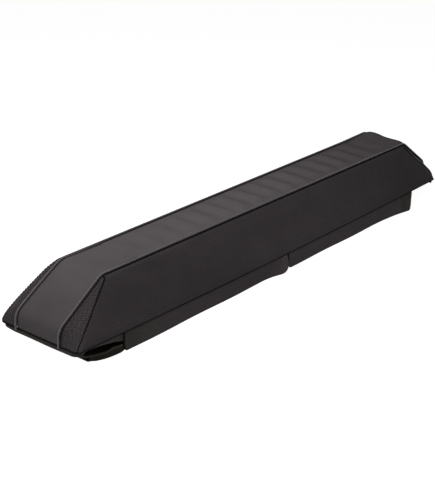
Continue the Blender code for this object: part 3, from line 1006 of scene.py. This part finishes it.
flap_finish, bare, shader, lengthwise, crosswise = cloth_finish("pack cloth", 0.8, 0.08)
weave = basket_weave(lengthwise, crosswise, 0.0036)
clouds = object_noise(bare, 22.0, 3.0)
slubs = object_noise(bare, 500.0, 3.0, 0.6)
faded = lengthwise.clamped(0.272, 0.282) + (lengthwise * -1).clamped(0.25, 0.32)
hem_line = 1 - (crosswise - 0.0085).math("ABSOLUTE").clamped(0.0002, 0.0009)
plain = weave * 0.55 + clouds * 0.25 + slubs * 0.2 + lengthwise.clamped(-0.08, 0.12) * 0.18
flap_colour = faded.mixed(
    plain.mixed((0.036, 0.0308, 0.0316), (0.124, 0.1070, 0.1100)),
    plain.mixed((0.034, 0.0322, 0.0285), (0.080, 0.0760, 0.0675)),
)
# Painted shadow: the cloth turns near-black within about 2 mm of the near flap's near edge, for the
# shade in the gap there.
painted_edge_shadow = lengthwise.clamped(-0.3072, -0.3056)
flap_colour = painted_edge_shadow.mixed((0.002, 0.002, 0.002), flap_colour)
feed(bare, shader, flap_colour, weave * 0.7 + slubs * 0.3 - hem_line * 0.5, 0.0003, 0.9 - weave * 0.12)

flap_thickness = 0.0012
flap_clear = 0.0014
hem = 0.008


def flap_grid(near_end, far_end, far_radius, near_radius, flare, flare_reach, lean):
    """Columns from the lower edge to the base seam. The lower edge rises in a quarter round at each
    end, a hem doubles the cloth by the edges, and slow waves grow towards the lower edge. flare
    bends the far lower corner outward, and lean draws it in along the flap."""
    t = np.linspace(0, 1, 241)
    t = 0.5 - 0.5 * np.cos(math.pi * t) * 0.35 - (0.5 - t) * 0.65
    t = (t - t[0]) / (t[-1] - t[0])
    x = near_end + (far_end - near_end) * t
    from_far = np.clip(far_radius - (far_end - x), 0, far_radius)
    from_near = np.clip(near_radius - (x - near_end), 0, near_radius)
    lift = 0.0009 - 0.0006 * np.clip(1 - (far_end - x) / 0.03, 0, 1)
    foot = lift + far_radius - np.sqrt(far_radius ** 2 - from_far ** 2 * 0.9999)
    foot = foot + near_radius - np.sqrt(near_radius ** 2 - from_near ** 2 * 0.9999)
    top = base_z - foot_drop(x) - 0.0007
    s = np.linspace(0, 1, 22)[None, :]
    z = foot[:, None] + (top - foot)[:, None] * s
    low_share = 1 - (z - flap_clear) / (base_z - flap_clear)
    x_all = np.broadcast_to(x[:, None], z.shape)
    edge = np.minimum.reduce([z - foot[:, None], x_all - near_end, far_end - x_all])
    doubled = 0.0005 * (1 - np.clip((edge - hem * 0.8) / 0.0012, 0, 1))
    wave = 0.0005 * (1 + np.sin(x[:, None] * 47 + 0.8)) * low_share
    hanging = np.clip(low_share, 0, 1)
    bend = flare * np.clip(1 - (far_end - x_all) / flare_reach, 0, 1) ** 2 * hanging ** 1.2
    x_all = x_all - lean * np.clip(1 - (far_end - x_all) / 0.05, 0, 1) * hanging
    recess = 0.0009 * np.clip((z - top[:, None]) / 0.003 + 1, 0, 1)
    y = -(half_base + doubled + wave + bend - recess)
    return spread(x_all, y, z), spread(x_all, z)


for end, limits, radii, flare, flare_reach, lean in (
    ("near", (-0.308, -0.0045), (0.0165, 0.0055), 0.0095, 0.050, 0.0),
    ("far", (0.0015, 0.3098), (0.0065, 0.005), 0.0074, 0.110, 0.0150),
):
    points, cloth = flap_grid(*limits, *radii, flare, flare_reach, lean)
    flap = sewn_cloth(
        f"{end}_flap", points, cloth, flap_thickness, flap_finish, "flap_weave", f"{end}_front_flap"
    )


# Rear wraps: slings of pack cloth that hang from the rear base seam, pass under the crossbar and
# turn up inside the flaps. The near one reaches to the mouth, where its corner is rounded.

wrap_finish = plain_cloth("wrap cloth", 0.05, (0.010, 0.0087, 0.0066), (0.042, 0.0365, 0.0280), 0.00025)

wrap_thickness = 0.0015
mouth_jut = 0.0045
jut_column = 34
rear_radius = 0.012
wrap_front = -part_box("near_rear_wrap")[0][1]


def wrap_grid(near_end, far_end, lip_height, mouth_shape):
    """Rows along x, columns down the rear wall, round under the floor and up the front. mouth_shape
    draws the near front corner in, in its walls and along its mouth, which juts out towards the front
    from jut_column on."""
    rows = 181
    t = np.linspace(0, 1, rows) ** (1.5 if mouth_shape else 1.0)
    base_x = (near_end + (far_end - near_end) * t)[:, None]
    zero = np.zeros((rows, 1))
    lip_y = foot_y = wrap_front + zero
    lip_z = lip_height + zero
    front_radius = 0.006 + zero
    jut = mouth_jut * np.clip(1 - (base_x - near_end) / 0.05, 0, 1)
    if mouth_shape:
        lip_y = np.interp(
            base_x - jut,
            [-0.354, -0.344, -0.335, -0.327, -0.311, -0.300],
            [0.0500, 0.0545, 0.0588, 0.0602, 0.0606, wrap_front],
        )
        foot_y = np.interp(
            base_x - jut,
            [-0.352, -0.347, -0.343, -0.335, -0.3275, -0.3195, -0.311, -0.298],
            [0.0470, 0.0505, 0.0540, 0.0572, 0.0590, 0.0600, 0.0604, 0.0580],
        )
        lip_z = np.interp(
            base_x - jut,
            [-0.3455, -0.335, -0.3245, -0.307, -0.302],
            [0.0076, 0.0082, 0.0100, 0.0082, lip_height],
        )
        front_radius = np.interp(base_x, [-0.308, -0.290], [0.0022, 0.006])
    quarter = np.linspace(0, math.pi / 2, 13)[None, :]
    wall = np.linspace(0, 1, 8)[None, :]
    top = base_z - 0.0003
    rear_wall = spread(half_base + zero, top + (rear_radius - top) * wall)
    bend_y = half_base - rear_radius * (1 - np.cos(quarter)) + zero
    rear_bend = spread(bend_y, rear_radius * (1 - np.sin(quarter)))
    floor_start, floor_end = half_base - rear_radius, front_radius - foot_y
    floor_share = np.linspace(0, 1, 26)[None, 1:-1]
    sag = 0.0003 * np.sin(base_x * 60) * np.sin(math.pi * floor_share)
    floor_run = spread(floor_start + (floor_end - floor_start) * floor_share, np.abs(sag))
    bend_y = floor_end - front_radius * np.sin(quarter)
    front_bend = spread(bend_y, front_radius * (1 - np.cos(quarter)))
    wall_y = (foot_y - lip_y) * wall - foot_y
    front_wall = spread(wall_y, front_radius + (lip_z - front_radius) * wall)
    section = [rear_wall[:, :-1], rear_bend, floor_run, front_bend, front_wall[:, 1:]]
    section = np.concatenate(section, 1)
    steps = np.linalg.norm(np.diff(section, axis=1, prepend=section[:, :1]), axis=2).cumsum(axis=1)
    x = base_x - mouth_shape * jut * eased((steps - steps[:, jut_column, None]) / 0.020)
    return spread(x, section[..., 0], section[..., 1]), spread(x, steps)


wraps = {}
for end, limits, mouth_shape in (
    ("near", (-0.3450, -0.008), True),
    ("far", (0.008, 0.300), False),
):
    points, cloth = wrap_grid(*limits, 0.0175, mouth_shape)
    wrap = sewn_cloth(
        f"{end}_sling", points, cloth, wrap_thickness, wrap_finish, "wrap_weave",
        f"{end}_rear_wrap", (0, 0, 0.013),
    )
    wraps[end] = points


# Wrap bindings: tape folded over the cut edge of each sling, round its mouth, and at the near end on
# along the low front lip until the flap covers it.

bead_radius = 0.0012
mouth_finish, bare, shader, _, crosswise = cloth_finish("mouth binding", 0.7, 0.12)
rib_lines = ridged(crosswise, 0.0011)
clouds = object_noise(bare, 90.0, 3.0)
mouth_colour = (rib_lines * 0.4 + clouds * 0.6).mixed((0.018, 0.0154, 0.0115), (0.062, 0.0535, 0.0405))
feed(bare, shader, mouth_colour, rib_lines, 0.0002)


def clear_of_floor(path, lift):
    """The path raised by this much where it lies on the floor, and less up to 3 mm above it."""
    return path + np.array((0, 0, lift)) * np.clip(1 - path[:, 2:] / 0.003, 0, 1)


mouth_path = even_line(wraps["near"][0, 10:-9] - (bead_radius, 0, 0), 150)[0]
mouth_tube = tube(clear_of_floor(mouth_path, 0.0010), bead_radius * 0.7, (1, 0, 0), 10)
tube_piece("near_mouth_edge", mouth_tube, mouth_finish, "edge_tape", "near_wrap_binding")

lip_edge = wraps["near"][:, -1]
lip_edge = lip_edge[lip_edge[:, 0] < -0.3085] + (0, 0.0007, bead_radius * 0.8)
tacked = np.array([(-0.3725, -0.0490, 0.0185), (-0.3640, -0.0500, 0.0130), (-0.3585, -0.0502, 0.0105)])
lip_path = even_line(np.concatenate([tacked, lip_edge[2:]]), 60)[0]
tube_piece("near_lip_edge", tube(lip_path, bead_radius * 1.1, (0, 0, 1), 10), mouth_finish, "edge_tape")

far_path = even_line(wraps["far"][-1, 10:-2] + (bead_radius, 0, 0), 150)[0]
far_tube = tube(clear_of_floor(far_path, 0.0013), bead_radius, (1, 0, 0), 10)
tube_piece("far_mouth_edge", far_tube, mouth_finish, "edge_tape", "far_wrap_binding")


# Closure strips: woven strips of loop pile behind the flaps, and of moulded hooks on the slings'
# upturned fronts. They lie face to face and hold each flap shut.

loop_finish, bare, shader, _, _ = cloth_finish("loop pile", 0.95, 0.05, 0.2)
fuzz = object_noise(bare, 2200.0, 3.0, 0.7)
loop_colour = fuzz.mixed((0.010, 0.010, 0.011), (0.034, 0.034, 0.036))
feed(bare, shader, loop_colour, fuzz, 0.0005)
hook_finish, bare, shader, lengthwise, crosswise = cloth_finish("moulded hooks", 0.6, 0.2)
turns = 2 * math.pi / 0.0012
rows = (lengthwise * turns).math("SINE") * (crosswise * turns).math("SINE") * 0.5 + 0.5
hook_colour = rows.mixed((0.006, 0.006, 0.007), (0.022, 0.022, 0.024))
feed(bare, shader, hook_colour, rows, 0.0005)

strip_round = 0.0015
for end in ("near", "far"):
    for kind, finish in (("loop", loop_finish), ("hook", hook_finish)):
        low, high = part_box(f"{end}_{kind}_strip")
        x = np.linspace(low[0], high[0], 120)[:, None]
        t = np.linspace(0, 1, 7)[None, :]
        tip = np.minimum(x - low[0], high[0] - x)
        past_tip = np.clip(strip_round - tip, 0, strip_round)
        bite = strip_round - np.sqrt(np.clip(strip_round ** 2 - past_tip ** 2, 0, 1))
        z = low[2] + bite + (high[2] - low[2] - 2 * bite) * t
        strip_piece = sewn_cloth(
            f"{end}_{kind}s", spread(x, low[1], z), spread(x, z), float(high[1] - low[1]),
            finish, f"{kind}_pile", f"{end}_{kind}_strip",
        )
        carried_by = f"{end}_flap" if kind == "loop" else f"{end}_sling"
